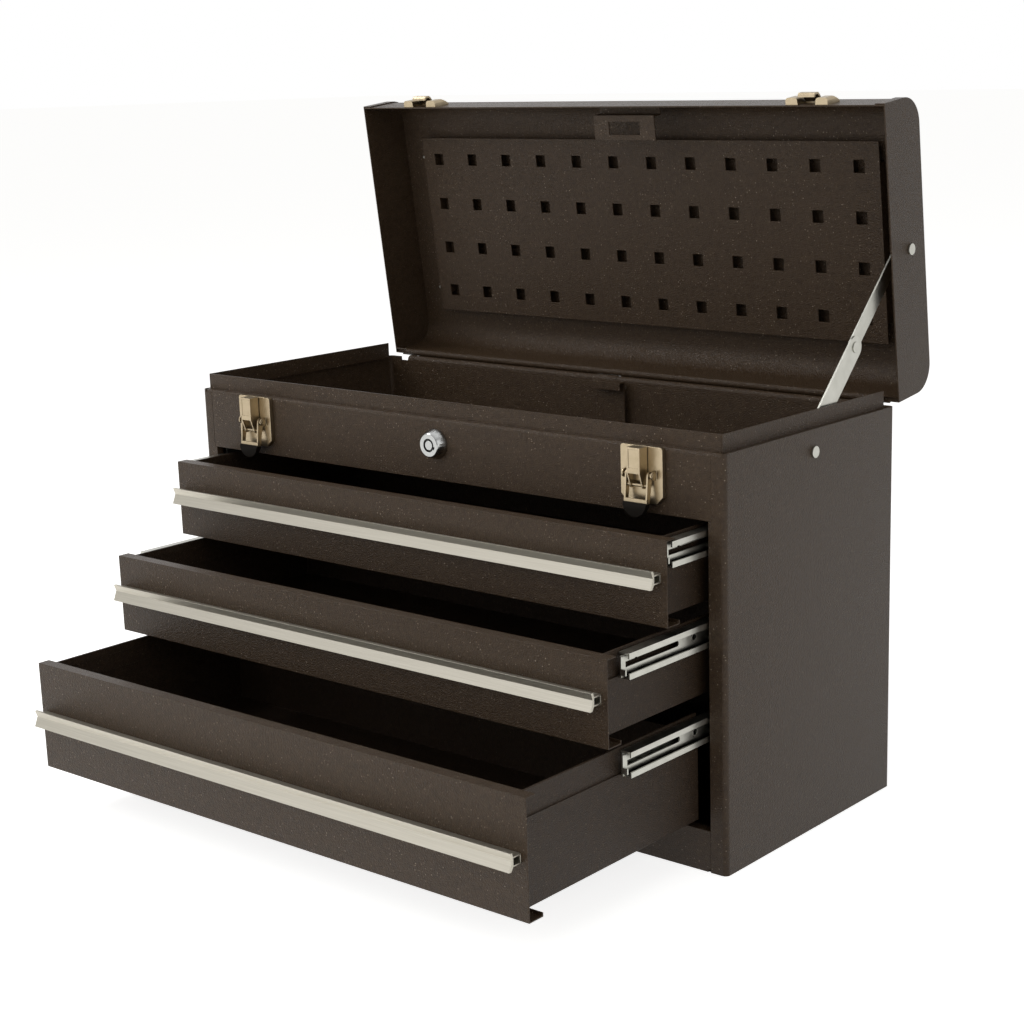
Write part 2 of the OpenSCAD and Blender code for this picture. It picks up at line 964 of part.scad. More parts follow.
// Finger tab: a dark moulded lip under the lever's foot
module latch_tab(side) {
    low_z = foot_z - tab_drop;
    color(black)
        at_latches(side)
            intersection() {
                along_x(-tab_x, tab_x)
                    polygon([
                        [-foot_y, foot_z + tab_lap], [-foot_y - tab_t / 2, foot_z + tab_lap],
                        [-foot_y - tab_t, foot_z - tab_t], [-foot_y - tab_t, low_z],
                        [-foot_y + tab_t, low_z], [-foot_y + leg_w, foot_z - tab_t],
                        [-foot_y + leg_w, foot_z], [-foot_y, foot_z]
                    ]);
                along_y(-half_d, half_d)
                    union() {
                        translate([-tab_x, low_z + tab_x])
                            square([2 * tab_x, tab_x]);
                        translate([0, low_z + tab_x])
                            circle(r = tab_x);
                    }
            }
}

module latch_tab_left() {
    latch_tab(-1);
}

module latch_tab_right() {
    latch_tab(1);
}

// Hasp: a hood open below with a pressed panel in its front, hung on the lever's pin
module latch_hasp(side) {
    pin_z = pivot_z - hasp_pin_drop;
    hood_z = pivot_z + hood_up;
    color(nickel)
        at_latches(side)
            difference() {
                union() {
                    both_sides()
                        along_x(hasp_x - hasp_t, hasp_x)
                            union() {
                                translate([-hasp_pin_y, pin_z])
                                    circle(r = hasp_eye_r);
                                polygon([
                                    [-hasp_in, plate_top], [-hasp_out, plate_top],
                                    [-hasp_out, hood_z], [-hasp_pin_y - hasp_eye_r, pin_z],
                                    [-hasp_pin_y + hasp_eye_r, pin_z], [-hasp_in, pin_z + hasp_eye_r]
                                ]);
                            }
                    slab(-hasp_x, hasp_x, -hasp_out, -hasp_out + hasp_t, hood_z, plate_top);
                    slab(-hasp_x, hasp_x, -hasp_out, -hasp_in, plate_top - hasp_t, plate_top);
                    slab(-hasp_x, hasp_x, -hasp_in - hasp_t, -hasp_in, pin_z + hasp_eye_r, plate_top);
                }
                x_rod(hasp_bore, -hasp_x - over, hasp_x + over, -hasp_pin_y, pin_z);
                slab(-hasp_x + press_in, hasp_x - press_in, -hasp_out - over, -hasp_out + press_d,
                    hood_z + press_low, plate_top - press_in);
            }
}

module latch_hasp_left() {
    latch_hasp(-1);
}

module latch_hasp_right() {
    latch_hasp(1);
}

// Lock

module lock_body() {
    notch_angle = -20;
    color(chrome)
        translate([0, -half_d, lock_z])
            rotate([90, 0, 0])
                difference() {
                    rotate_extrude()
                        polygon([
                            [lock_bore_r, lock_out], [lock_face_d / 2 - lock_skirt / 2, lock_out],
                            [lock_face_d / 2, lock_out - lock_skirt / 2],
                            [lock_base_d / 2, lock_skirt], [lock_base_d / 2, 0],
                            [lock_barrel_r, 0], [lock_barrel_r, -lock_barrel_len],
                            [plug_shaft_r + fit, -lock_barrel_len],
                            [plug_shaft_r + fit, lock_out - lock_key_depth - 2 * lock_skirt],
                            [lock_bore_r, lock_out - lock_key_depth - 2 * lock_skirt]
                        ]);
                    rotate([0, 0, notch_angle])
                        translate([0, -lock_notch / 2, lock_out - lock_key_depth])
                            cube([lock_bore_r + lock_notch / 2, lock_notch, lock_out]);
                }
}

module lock_plug() {
    shaft_end = -sheet - lock_barrel_len - cam_back - cam_t;
    key_floor = lock_out - lock_key_depth;
    color(chrome)
        translate([0, -half_d, lock_z])
            rotate([90, 0, 0]) {
                translate([0, 0, key_floor - lock_skirt])
                    cylinder(r = lock_plug_r, h = lock_skirt);
                translate([0, 0, key_floor - lock_skirt])
                    cylinder(r = lock_post_r, h = lock_key_depth + lock_skirt - fit);
                translate([0, 0, shaft_end])
                    cylinder(r = plug_shaft_r + fit - pin_fit, h = key_floor - shaft_end);
            }
}

module lock_nut() {
    color(zinc)
        translate([0, -in_d, lock_z])
            rotate([-90, 0, 0])
                difference() {
                    cylinder(d = nut_af / cos(30), h = nut_t, $fn = 6);
                    translate([0, 0, -over])
                        cylinder(r = lock_barrel_r, h = nut_t + 2 * over);
                }
}

// Cam: an arm with a tooth that hooks over the strike's plate
module lock_cam() {
    color(zinc)
        translate([0, cam_y, lock_z])
            rotate([0, cam_rest, 0])
                difference() {
                    union() {
                        y_rod(cam_hub_r, 0, cam_t, 0, 0);
                        slab(-cam_w / 2, cam_w / 2, 0, cam_t, 0, cam_len);
                        slab(-cam_w / 2 - tooth_w, cam_w / 2, 0, cam_t, tooth_from, cam_len);
                    }
                    y_rod(plug_shaft_r + fit - pin_fit, -over, cam_t + over, 0, 0);
                }
}

// Drawer lock bar: a flat bar with a thumb lip and a hooked finger over each tray's back

function finger_z(i) = drawer_top[i] - back_drop + finger_air + finger_tip;

module lock_bar() {
    bar_top = cabinet_h - bar_top_drop;
    tip_y = tray_back - finger_reach - bar_t;
    color(paint)
        translate([bar_mid, 0, 0]) {
            slab(-bar_x, bar_x, bar_y, bar_y + bar_t, bar_foot, bar_top);
            slab(-bar_x, bar_x, bar_y - bar_lip, bar_y, bar_top - bar_t, bar_top);
            slab(-bar_x, bar_x, bar_y - bar_lip, bar_y - bar_lip + bar_t, bar_top - bar_lip_h, bar_top);
            for (i = [0 : 2]) {
                slab(-bar_x, bar_x, tip_y, bar_y, finger_z(i), finger_z(i) + finger_h);
                slab(-bar_x, bar_x, tip_y, tip_y + bar_t, finger_z(i) - finger_tip, finger_z(i));
            }
        }
}

module lock_bar_guides() {
    color(paint)
        translate([bar_mid, 0, 0])
            for (z = [cabinet_h - guide_high - guide_h, guide_low])
                difference() {
                    slab(-guide_x, guide_x, bar_y - air - sheet, in_d, z, z + guide_h);
                    slab(-bar_x - air, bar_x + air, bar_y - air, in_d + over, z - over, z + guide_h + over);
                }
}

// Stay

module stay_rivet_lower() {
    color(zinc) {
        x_rod(rivet_head_r, half_w, half_w + rivet_head_t, stay_y, stay_z);
        x_rod(rivet_r, upper_x, half_w, stay_y, stay_z);
        x_rod(spacer_r, stay_x + pin_fit, in_w, stay_y, stay_z);
        x_rod(rivet_head_r, upper_x - air, stay_x - link_t - pin_fit, stay_y, stay_z);
    }
}

module stay_rivet_upper() {
    color(zinc)
        on_lid() {
            x_rod(rivet_head_r, half_w, half_w + rivet_head_t, stay_y, stay_lid_z);
            x_rod(rivet_r, upper_x - link_t - rivet_head_t, half_w, stay_y, stay_lid_z);
            x_rod(spacer_r, upper_x + pin_fit, in_w, stay_y, stay_lid_z);
            x_rod(rivet_head_r, upper_x - link_t - rivet_head_t - pin_fit,
                upper_x - link_t - pin_fit, stay_y, stay_lid_z);
        }
}

// Flat link from the origin along Y with round ends, its right face on x
module flat_link(x, w, len) {
    translate([x, 0, 0])
        mirror([1, 0, 0])
            along_x(0, link_t)
                union() {
                    translate([0, -w / 2])
                        square([len, w]);
                    circle(d = w);
                    translate([len, 0])
                        circle(d = w);
                }
}

module stay_lower_link() {
    color(zinc)
        translate([0, stay_y, stay_z])
            rotate([stay_angle, 0, 0])
                difference() {
                    flat_link(stay_x, lower_link_w, link_len);
                    x_rod(rivet_bore, stay_x - link_t - over, stay_x + over, 0, 0);
                    x_rod(rivet_r, stay_x - link_t - over, stay_x + over, link_len, 0);
                }
}

module stay_upper_link() {
    color(zinc)
        translate([0, stay_open_y, stay_open_z])
            rotate([stay_angle + 180, 0, 0])
                difference() {
                    flat_link(upper_x, upper_link_w, link_len);
                    x_rod(rivet_bore, upper_x - link_t - over, upper_x + over, 0, 0);
                }
}

module stay_elbow_rivet() {
    color(zinc)
        translate([0, stay_y, stay_z])
            rotate([stay_angle, 0, 0]) {
                x_rod(rivet_r, stay_x - link_t, stay_x, link_len, 0);
                x_rod(elbow_head_r, stay_x, stay_x + elbow_head_t, link_len, 0);
            }
}

// Handle

module handle_brackets() {
    pivot_z1 = lid_top + bail_up;
    color(zinc)
        on_lid()
            both_sides()
                translate([bail_w / 2 - bracket_w, 0, 0])
                    difference() {
                        union() {
                            slab(0, bracket_w / 2, -bracket_foot / 2, bracket_foot / 2,
                                wrap_top, wrap_top + bracket_t);
                            slab(0, bracket_w / 2, -bail_r - bracket_t, bail_r + bracket_t,
                                wrap_top, pivot_z1);
                            x_rod(bail_r + bracket_t, 0, bracket_w / 2, 0, pivot_z1);
                        }
                        x_rod(bail_bore, -over, bracket_w + over, 0, pivot_z1);
                    }
}

module bail_quarter() {
    rotate_extrude(angle = 90)
        translate([bail_bend, 0])
            circle(r = bail_r);
}

module handle_bail() {
    grip_y = bail_reach;
    leg_x1 = bail_w / 2;
    color(zinc)
        on_lid()
            translate([0, 0, lid_top + bail_up]) {
                both_sides() {
                    x_rod(bail_r, leg_x1 - bail_pin, leg_x1, 0, 0);
                    translate([leg_x1, 0, 0])
                        sphere(r = bail_r);
                    y_rod(bail_r, 0, grip_y - bail_bend, leg_x1, 0);
                    translate([leg_x1 - bail_bend, grip_y - bail_bend, 0])
                        bail_quarter();
                }
                x_rod(bail_r, -leg_x1 + bail_bend, leg_x1 - bail_bend, grip_y, 0);
            }
}

module handle_grip() {
    color(black)
        on_lid()
            translate([0, bail_reach, lid_top + bail_up])
                rotate([0, 90, 0])
                    difference() {
                        translate([0, 0, -grip_w / 2])
                            cylinder(r = grip_r, h = grip_w);
                        translate([0, 0, -grip_w / 2 - over])
                            cylinder(r = bail_r, h = grip_w + 2 * over);
                    }
}

// Slides

// Intermediate runner: a web between two channels, the outer one with lips over the cabinet rail
module runner(i) {
    y0 = -half_d + sheet + tip_gap;
    flange_y = y0 + tip_len;
    slot_y = y0 + slot_start;
    slot_y1 = slot_y + slot_len - slot_h / 2;
    tab_z = -nest_h / 2 + slide_t + slide_gap;
    bore_x0 = web_x - over;
    bore_x1 = web_x + slide_t + eye_out + over;
    color(zinc)
        on_runner(i)
            translate([0, 0, slide_z[i]])
                difference() {
                    union() {
                        along_y(flange_y, y0 + runner_len) {
                            translate([web_x, -slide_h / 2])
                                square([slide_t, slide_h]);
                            for (side = [-1, 1])
                                scale([1, side]) {
                                    translate([runner_x0, slide_h / 2 - slide_t])
                                        square([runner_x1 - runner_x0, slide_t]);
                                    translate([runner_x1 - slide_t, slide_h / 2 - runner_lip])
                                        square([slide_t, runner_lip]);
                                }
                        }
                        slab(web_x, web_x + slide_t, y0, flange_y + over, -nest_h / 2, nest_h / 2);
                        slab(web_x, web_x + tab_len, y0, y0 + slide_t, tab_z, tab_z + tab_h);
                        x_rod(eye_r + eye_ring, web_x, web_x + slide_t + eye_out, y0 + eye_at, slot_up);
                    }
                    slab(bore_x0, bore_x1, slot_y, slot_y1, slot_up - slot_h / 2, slot_up + slot_h / 2);
                    x_rod(slot_h / 2, bore_x0, bore_x1, slot_y1, slot_up);
                    x_rod(dimple_r, bore_x0, bore_x1, y0 + dimple_at, slot_up + slot_h / 2);
                    x_rod(eye_r, bore_x0, bore_x1, y0 + eye_at, slot_up);
                }
}

module runner_left(i) {
    mirror([1, 0, 0])
        runner(i);
}

// Drawer rails: a channel each, its web on the tray's wall, that fills the runner's inner channel
module drawer_rails(i) {
    y0 = -half_d + drawer_rail_at;
    color(zinc)
        on_drawer(i)
            translate([0, 0, slide_z[i]])
                both_sides()
                    along_y(y0, tray_back - drawer_rail_stop)
                        difference() {
                            translate([wall_x, -nest_h / 2])
                                square([rail_flange, nest_h]);
                            translate([wall_x + slide_t, -nest_h / 2 + slide_t])
                                square([rail_flange, nest_h - 2 * slide_t]);
                        }
}

// Drawers

module drawer_front(i) {
    top = drawer_top[i];
    base = drawer_base[i];
    color(paint)
        on_drawer(i) {
            slab(-front_x, front_x, -half_d, -in_d, base, top);
            slab(-front_x, front_x, -half_d, -half_d + hem_d, top - sheet, top);
            slab(-wall_x + sheet + fit, wall_x - sheet - fit, -half_d + hem_d - sheet, -half_d + hem_d,
                top - hem_lip, top);
            slab(-front_x, front_x, -half_d, -half_d + channel_d, base, base + sheet);
            slab(-front_x, front_x, -half_d + channel_d - sheet, -half_d + channel_d,
                base, base + channel_return);
        }
}

// Tray section in (x, z): belly below the slides, ledge, upper wall with a hemmed edge
module tray_wall(base, top, ledge) {
    belly_x = wall_x + belly;
    polygon([
        [belly_x - sheet, base], [belly_x, base], [belly_x, ledge],
        [wall_x, ledge], [wall_x, top], [wall_x - sheet - hem_t, top],
        [wall_x - sheet - hem_t, top - side_hem], [wall_x - sheet, top - side_hem],
        [wall_x - sheet, ledge - sheet], [belly_x - sheet, ledge - sheet]
    ]);
}

module drawer_tray(i) {
    top = drawer_top[i];
    base = drawer_base[i] + channel_lip;
    ledge = top - ledge_drop;
    belly_x = wall_x + belly;
    color(paint_dark)
        on_drawer(i)
            difference() {
                union() {
                    both_sides()
                        along_y(-in_d, tray_back)
                            tray_wall(base, top, ledge);
                    slab(-belly_x, belly_x, -in_d, tray_back, base, base + sheet);
                    slab(-wall_x, wall_x, tray_back - sheet, tray_back, base, top - back_drop);
                    both_sides()
                        slab(wall_x - sheet, belly_x, tray_back - sheet, tray_back, base, ledge);
                }
                slab(-front_x, front_x, -half_d, -half_d + hem_d, top - sheet, top + over);
                slab(-wall_x + sheet, wall_x - sheet, -half_d, -half_d + hem_d, top - side_hem - over,
                    top + over);
            }
}

// Pull: two webs from a narrow foot carry a shallow V, whose top edge stands less far out than its lower edge
module drawer_pull(i) {
    z = drawer_base[i] + drawer_h[i] * pull_up_shares[i];
    half_h = pull_h / 2;
    valley = pull_out - pull_valley;
    top_out_y = pull_out - pull_lean;
    color(alloy)
        on_drawer(i)
            translate([0, -half_d, z])
                along_x(-pull_x, pull_x)
                    union() {
                        polygon([
                            [-top_out_y, half_h], [-valley, pull_crease], [-pull_out, -half_h],
                            [-pull_out + pull_lip, -half_h], [-valley + pull_skin, -pull_web_up],
                            [-valley + pull_skin, pull_web_up], [-top_out_y + pull_lip, half_h]
                        ]);
                        for (side = [-1, 1])
                            translate([-valley + pull_skin / 2, side * pull_web_up - pull_web / 2])
                                square([valley - pull_skin / 2, pull_web]);
                        translate([-pull_web, -pull_web_up])
                            square([pull_web, 2 * pull_web_up]);
                    }
}

cabinet_shell();
front_panel();
base_rail();
base_pan();
till_floor();
slide_posts();
cabinet_rails_left();
cabinet_rails_right();
hinge_leaves();
hinge_pin();
latch_plate_left();
latch_plate_right();
latch_stubs();
lock_body();
lock_nut();
lock_bar_guides();
stay_rivet_lower();
lid_shell();
lid_cap_left();
lid_cap_right();
tool_board();
tool_board_channels();
lock_strike();
latch_strike_left();
latch_strike_right();
stay_rivet_upper();
handle_brackets();
handle_bail();
handle_grip();
latch_lever_left();
latch_lever_right();
latch_tab_left();
latch_tab_right();
latch_hasp_left();
latch_hasp_right();
lock_plug();
lock_cam();
lock_bar();
stay_lower_link();
stay_upper_link();
stay_elbow_rivet();
runner_left(0);  // runner_top_left
runner(0);  // runner_top_right
runner_left(1);  // runner_middle_left
runner(1);  // runner_middle_right
runner_left(2);  // runner_bottom_left
runner(2);  // runner_bottom_right
drawer_front(0);  // top_drawer_front
drawer_tray(0);  // top_drawer_tray
drawer_pull(0);  // top_drawer_pull
drawer_rails(0);  // top_drawer_rails
drawer_front(1);  // middle_drawer_front
drawer_tray(1);  // middle_drawer_tray
drawer_pull(1);  // middle_drawer_pull
drawer_rails(1);  // middle_drawer_rails
drawer_front(2);  // bottom_drawer_front
drawer_tray(2);  // bottom_drawer_tray
drawer_pull(2);  // bottom_drawer_pull
drawer_rails(2);  // bottom_drawer_rails
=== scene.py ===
import math

import bmesh
import bpy
from mathutils import Matrix, Vector


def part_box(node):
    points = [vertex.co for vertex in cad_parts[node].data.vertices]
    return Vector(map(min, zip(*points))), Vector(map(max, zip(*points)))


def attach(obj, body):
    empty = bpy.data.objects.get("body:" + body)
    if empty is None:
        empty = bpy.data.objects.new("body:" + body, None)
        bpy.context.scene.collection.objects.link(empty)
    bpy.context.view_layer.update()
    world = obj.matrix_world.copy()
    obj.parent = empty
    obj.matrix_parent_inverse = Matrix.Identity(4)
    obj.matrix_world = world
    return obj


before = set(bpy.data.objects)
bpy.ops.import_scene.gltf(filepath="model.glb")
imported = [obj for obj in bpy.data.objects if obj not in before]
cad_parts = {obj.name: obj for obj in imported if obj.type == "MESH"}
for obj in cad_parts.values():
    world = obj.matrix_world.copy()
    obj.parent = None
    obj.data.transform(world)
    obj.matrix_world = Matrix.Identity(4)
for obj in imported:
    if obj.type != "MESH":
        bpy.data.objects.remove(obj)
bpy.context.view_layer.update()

# The room: a pale floor under a white sky, three large soft lamps, and a smaller one high on
# the left that draws the light lines along the bends. The chest is seen from the front right,
# a little above its drawers, through a short telephoto lens.

EYE = Vector((0.9694, -1.1273, 0.5387))
TURN_DEG = 38.866
LOOK_DOWN_DEG = 13.65
ROLL_DEG = -1.26
LENS_MM = 68.91
SENSOR_MM = 36.0
SHIFT = (-0.0825, 0.0289)
# Each lamp's place, its watts, and the length of its side in metres
LAMPS = {
    "key": ((-0.80, -2.50, 1.00), 34.0, 3.4),
    "side": ((2.40, -0.80, 1.00), 10.0, 2.0),
    "top": ((0.10, -0.60, 2.60), 10.0, 3.0),
    "glint": ((-1.34, -0.60, 1.90), 12.0, 0.6),
}
CHEST_MIDDLE = Vector((0.0, -0.05, 0.22))
WHITE = "#ffffff"
SKY_ON_CHEST = "#d6d4d0"
SKY_LEVEL = 0.30
# How bright the room is for metal that mirrors it: from the front to the back, with the two
# headings between which it rises
ROOM_LEVELS = (0.38, 1.0)
ROOM_HEADINGS = (-0.6, 0.3)
FLOOR_COLOUR = "#f4f4f2"
FLOOR_GLOW = 0.80
FLOOR_HALF = 30.0


def linear(hex_code):
    """An sRGB hex code as linear red, green, blue and a full alpha."""
    out = []
    for start in (1, 3, 5):
        value = int(hex_code[start:start + 2], 16) / 255
        out.append(value / 12.92 if value <= 0.04045 else ((value + 0.055) / 1.055) ** 2.4)
    return (*out, 1.0)


def add(tree, kind, inputs=None, **settings):
    """Adds a node with its settings; an input takes a value or another node's output."""
    node = tree.nodes.new(kind)
    for name, value in settings.items():
        setattr(node, name, value)
    for name, value in (inputs or {}).items():
        if isinstance(value, bpy.types.NodeSocket):
            tree.links.new(value, node.inputs[name])
        else:
            node.inputs[name].default_value = value
    return node


def empty_material(name):
    """A material with an empty node tree, and the tree."""
    made = bpy.data.materials.new(name)
    made.use_nodes = True
    made.node_tree.nodes.clear()
    return made, made.node_tree


camera = bpy.data.objects.new("camera", bpy.data.cameras.new("camera"))
bpy.context.scene.collection.objects.link(camera)
camera.data.lens = LENS_MM
camera.data.sensor_width = SENSOR_MM
camera.data.shift_x, camera.data.shift_y = SHIFT
camera.matrix_world = (
    Matrix.Translation(EYE)
    @ Matrix.Rotation(math.radians(TURN_DEG), 4, "Z")
    @ Matrix.Rotation(math.radians(90 - LOOK_DOWN_DEG), 4, "X")
    @ Matrix.Rotation(math.radians(ROLL_DEG), 4, "Z")
)
bpy.context.scene.camera = camera
bpy.context.scene.view_settings.view_transform = "Standard"

for lamp_name, (place, watts, side) in LAMPS.items():
    lamp = bpy.data.objects.new(lamp_name, bpy.data.lights.new(lamp_name, "AREA"))
    lamp.data.energy = watts
    lamp.data.size = side
    lamp.location = place
    lamp.rotation_euler = (CHEST_MIDDLE - Vector(place)).to_track_quat("-Z", "Y").to_euler()
    bpy.context.scene.collection.objects.link(lamp)

# Metal sees the white that stands behind the chest, and the greyer room in front of it
world = bpy.data.worlds.new("white room")
world.use_nodes = True
world.node_tree.nodes.clear()
bpy.context.scene.world = world
tree = world.node_tree
ray = add(tree, "ShaderNodeLightPath")
mirrored = add(tree, "ShaderNodeMath",
               {0: ray.outputs["Is Glossy Ray"], 1: ray.outputs["Is Transmission Ray"]},
               operation="MAXIMUM")
heading = add(tree, "ShaderNodeSeparateXYZ",
              {"Vector": add(tree, "ShaderNodeTexCoord").outputs["Generated"]})
room = add(tree, "ShaderNodeMapRange",
           {"Value": heading.outputs["Y"],
            "From Min": ROOM_HEADINGS[0], "From Max": ROOM_HEADINGS[1],
            "To Min": ROOM_LEVELS[0], "To Max": ROOM_LEVELS[1]})
soft_sky = add(tree, "ShaderNodeBackground",
               {"Color": linear(SKY_ON_CHEST), "Strength": SKY_LEVEL})
room_sky = add(tree, "ShaderNodeBackground",
               {"Color": linear(WHITE), "Strength": room.outputs[0]})
white_sky = add(tree, "ShaderNodeBackground", {"Color": linear(WHITE), "Strength": 1.0})
on_metal = add(tree, "ShaderNodeMixShader",
               {0: mirrored.outputs[0], 1: soft_sky.outputs[0], 2: room_sky.outputs[0]})
sky = add(tree, "ShaderNodeMixShader",
          {0: ray.outputs["Is Camera Ray"], 1: on_metal.outputs[0], 2: white_sky.outputs[0]})
add(tree, "ShaderNodeOutputWorld", {"Surface": sky.outputs[0]})

# The floor's own white is added to what falls on it, so only the chest's shadow is left to see
floor_paint, tree = empty_material("pale floor")
matt = add(tree, "ShaderNodeBsdfDiffuse", {"Color": linear(FLOOR_COLOUR)})
ray = add(tree, "ShaderNodeLightPath")
mirrored = add(tree, "ShaderNodeMath",
               {0: ray.outputs["Is Glossy Ray"], 1: ray.outputs["Is Transmission Ray"]},
               operation="MAXIMUM")
looked_at = add(tree, "ShaderNodeMath",
                {0: mirrored.outputs[0], 1: ray.outputs["Is Camera Ray"]},
                operation="MAXIMUM")
shown = add(tree, "ShaderNodeMath", {0: looked_at.outputs[0], 1: FLOOR_GLOW}, operation="MULTIPLY")
glow = add(tree, "ShaderNodeEmission", {"Color": linear(WHITE), "Strength": shown.outputs[0]})
both = add(tree, "ShaderNodeAddShader", {0: matt.outputs[0], 1: glow.outputs[0]})
add(tree, "ShaderNodeOutputMaterial", {"Surface": both.outputs[0]})

floor_mesh = bpy.data.meshes.new("floor")
floor_mesh.from_pydata(
    [(-FLOOR_HALF, -FLOOR_HALF, 0), (FLOOR_HALF, -FLOOR_HALF, 0),
     (FLOOR_HALF, FLOOR_HALF, 0), (-FLOOR_HALF, FLOOR_HALF, 0)],
    [], [(0, 1, 2, 3)])
floor_mesh.materials.append(floor_paint)
floor = bpy.data.objects.new("floor", floor_mesh)
bpy.context.scene.collection.objects.link(floor)


# The cabinet: a wrapped shell of 1 mm mild steel, folded and spot welded, with its front
# panel, base rail and floors. All of it is sprayed with a brown powder that wrinkles as it
# is baked; the small dark hollows and light specks on it are painted shade and painted glints.

SHEET_EDGE_MM = 0.35
SHARP_DEG = 32
FLAT_DEG = 0.5
WELD_MM = 0.001

WRINKLE_MM = 0.9
# Deeper than the real wrinkles, so that they show
WRINKLE_DEEP_MM = 0.8
# The painted shade of the wrinkles' hollows, and the part of the noise over which it turns to the
# coat's own colour
HOLLOW_SHADE_MM = 3.2
HOLLOW_SHADE_RANGE = (0.34, 0.60)
# Over each patch the painted glints grow from a third of their strength to all of it
PATCH_MM = 14.0
PATCH_RANGE = (0.38, 0.66)
PATCH_LEAST = 0.35
# The specks are painted glints on the tips of wrinkles: one to a cell, drawn 0.7 mm wide so that
# they show
GLINT_CELL_MM = 2.8
GLINT_SHARE = 0.11
GLINT_FADE = 1.7
COAT_SHEEN = 0.22
COAT_GLOSS_SPREAD = 0.1


def dress(names, finish, edge_mm):
    """Gives pieces their finish, and rounds their cut edges."""
    for name in names:
        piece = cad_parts[name]
        for slot in piece.material_slots:
            slot.material = finish
        for face in piece.data.polygons:
            face.use_smooth = True
        # The bevel makes the normals anew from the rounded edges
        if "custom_normal" in piece.data.attributes:
            piece.data.attributes.remove(piece.data.attributes["custom_normal"])
        weld = piece.modifiers.new("weld", "WELD")
        weld.merge_threshold = WELD_MM / 1000
        flat = piece.modifiers.new("one face for each flat", "DECIMATE")
        flat.decimate_type = "DISSOLVE"
        flat.angle_limit = math.radians(FLAT_DEG)
        edge = piece.modifiers.new("edge", "BEVEL")
        edge.width = edge_mm / 1000
        edge.segments = 2
        edge.limit_method = "ANGLE"
        edge.angle_limit = math.radians(SHARP_DEG)
        edge.harden_normals = True
        edge.use_clamp_overlap = True


def wrinkle_coat(name, ground, hollow_shade, glint_speck, roughness):
    """Wrinkle powder coat: fine wrinkles that dull its shine, painted shade in browner hollows,
    lone pale painted glints.
    """
    made, tree = empty_material(name)
    place = add(tree, "ShaderNodeTexCoord").outputs["Object"]
    mottle = add(tree, "ShaderNodeTexNoise",
                 {"Vector": place, "Scale": 1000 / HOLLOW_SHADE_MM, "Detail": 4.0, "Roughness": 0.65})
    # Painted shade: the mottle's darker, browner patches stand for the shade in the wrinkles'
    # hollows
    shade = add(tree, "ShaderNodeValToRGB", {"Fac": mottle.outputs["Fac"]})
    for stop, position, colour in zip(shade.color_ramp.elements, HOLLOW_SHADE_RANGE, (hollow_shade, ground)):
        stop.position = position
        stop.color = linear(colour)
    patch = add(tree, "ShaderNodeTexNoise",
                {"Vector": place, "Scale": 1000 / PATCH_MM, "Detail": 2.0})
    # Painted glints: pale specks in the base colour stand for light caught on the wrinkles' tips
    glint_cells = add(tree, "ShaderNodeTexVoronoi", {"Vector": place, "Scale": 1000 / GLINT_CELL_MM})
    glint_tip = add(tree, "ShaderNodeMapRange",
              {"Value": glint_cells.outputs["Distance"],
               "From Min": GLINT_SHARE, "From Max": GLINT_SHARE * GLINT_FADE,
               "To Min": 1.0, "To Max": 0.0})
    chance = add(tree, "ShaderNodeSeparateColor", {"Color": glint_cells.outputs["Color"]})
    glint_crowd = add(tree, "ShaderNodeMapRange",
                {"Value": patch.outputs["Fac"],
                 "From Min": PATCH_RANGE[0], "From Max": PATCH_RANGE[1],
                 "To Min": PATCH_LEAST, "To Max": 1.0})
    faint = add(tree, "ShaderNodeMath",
                {0: chance.outputs[0], 1: glint_crowd.outputs[0]}, operation="MULTIPLY")
    spot = add(tree, "ShaderNodeMath",
               {0: glint_tip.outputs[0], 1: faint.outputs[0]}, operation="MULTIPLY")
    glinted = add(tree, "ShaderNodeMix",
                  {0: spot.outputs[0], 6: shade.outputs["Color"], 7: linear(glint_speck)},
                  data_type="RGBA")
    wrinkle = add(tree, "ShaderNodeTexNoise",
                  {"Vector": place, "Scale": 1000 / WRINKLE_MM, "Detail": 1.5, "Roughness": 0.5})
    relief = add(tree, "ShaderNodeBump",
                 {"Height": wrinkle.outputs["Fac"], "Strength": 1.0,
                  "Distance": WRINKLE_DEEP_MM / 1000})
    gloss = add(tree, "ShaderNodeMapRange",
                {"Value": mottle.outputs["Fac"],
                 "To Min": roughness - COAT_GLOSS_SPREAD, "To Max": roughness + COAT_GLOSS_SPREAD})
    coat = add(tree, "ShaderNodeBsdfPrincipled",
               {"Base Color": glinted.outputs[2], "Roughness": gloss.outputs[0], "IOR": 1.5,
                "Specular IOR Level": COAT_SHEEN, "Normal": relief.outputs[0]})
    add(tree, "ShaderNodeOutputMaterial", {"Surface": coat.outputs[0]})
    return made


brown_coat = wrinkle_coat("brown wrinkle powder coat", ground="#463728", hollow_shade="#392b1d",
                          glint_speck="#ab9b89", roughness=0.34)
# A darker, duller copy of the coat for the insides; its darkness is painted shade, where less light
# reaches
shadow_coat = wrinkle_coat("brown powder coat, darker for painted shade inside", ground="#3a2d21", hollow_shade="#2c2117",
                           glint_speck="#6f6252", roughness=0.42)

dress(["cabinet_shell", "front_panel", "base_rail"], brown_coat, SHEET_EDGE_MM)
# The base pan and till floor take the darker copy, whose darkness is painted shade
dress(["base_pan", "till_floor"], shadow_coat, SHEET_EDGE_MM)


# Slide posts, cabinet rails and runners: folded from zinc-plated strip, clear passivated, so
# grey with a faint warm cloud in it. The posts are spot welded to the cabinet's sides, and
# the drawers' own rails are the same strip.

STRIP_EDGE_MM = 0.25
# Rolling lines run along Y; they are drawn this coarse so that they show
ROLL_LINE_MM = 0.35
ROLL_STRETCH = (1.0, 0.03, 1.0)
ROLL_LINE_DEEP_MM = 0.1
# Painted shade: the metal is darkened where its own folds shut it in, over this reach
FOLD_SHADE = "#241b12"
FOLD_SHADE_MM = 6.0
FOLD_SHADE_RANGE = (0.3, 0.8)
PLATE_GLOSS_SPREAD = (-0.08, 0.1)


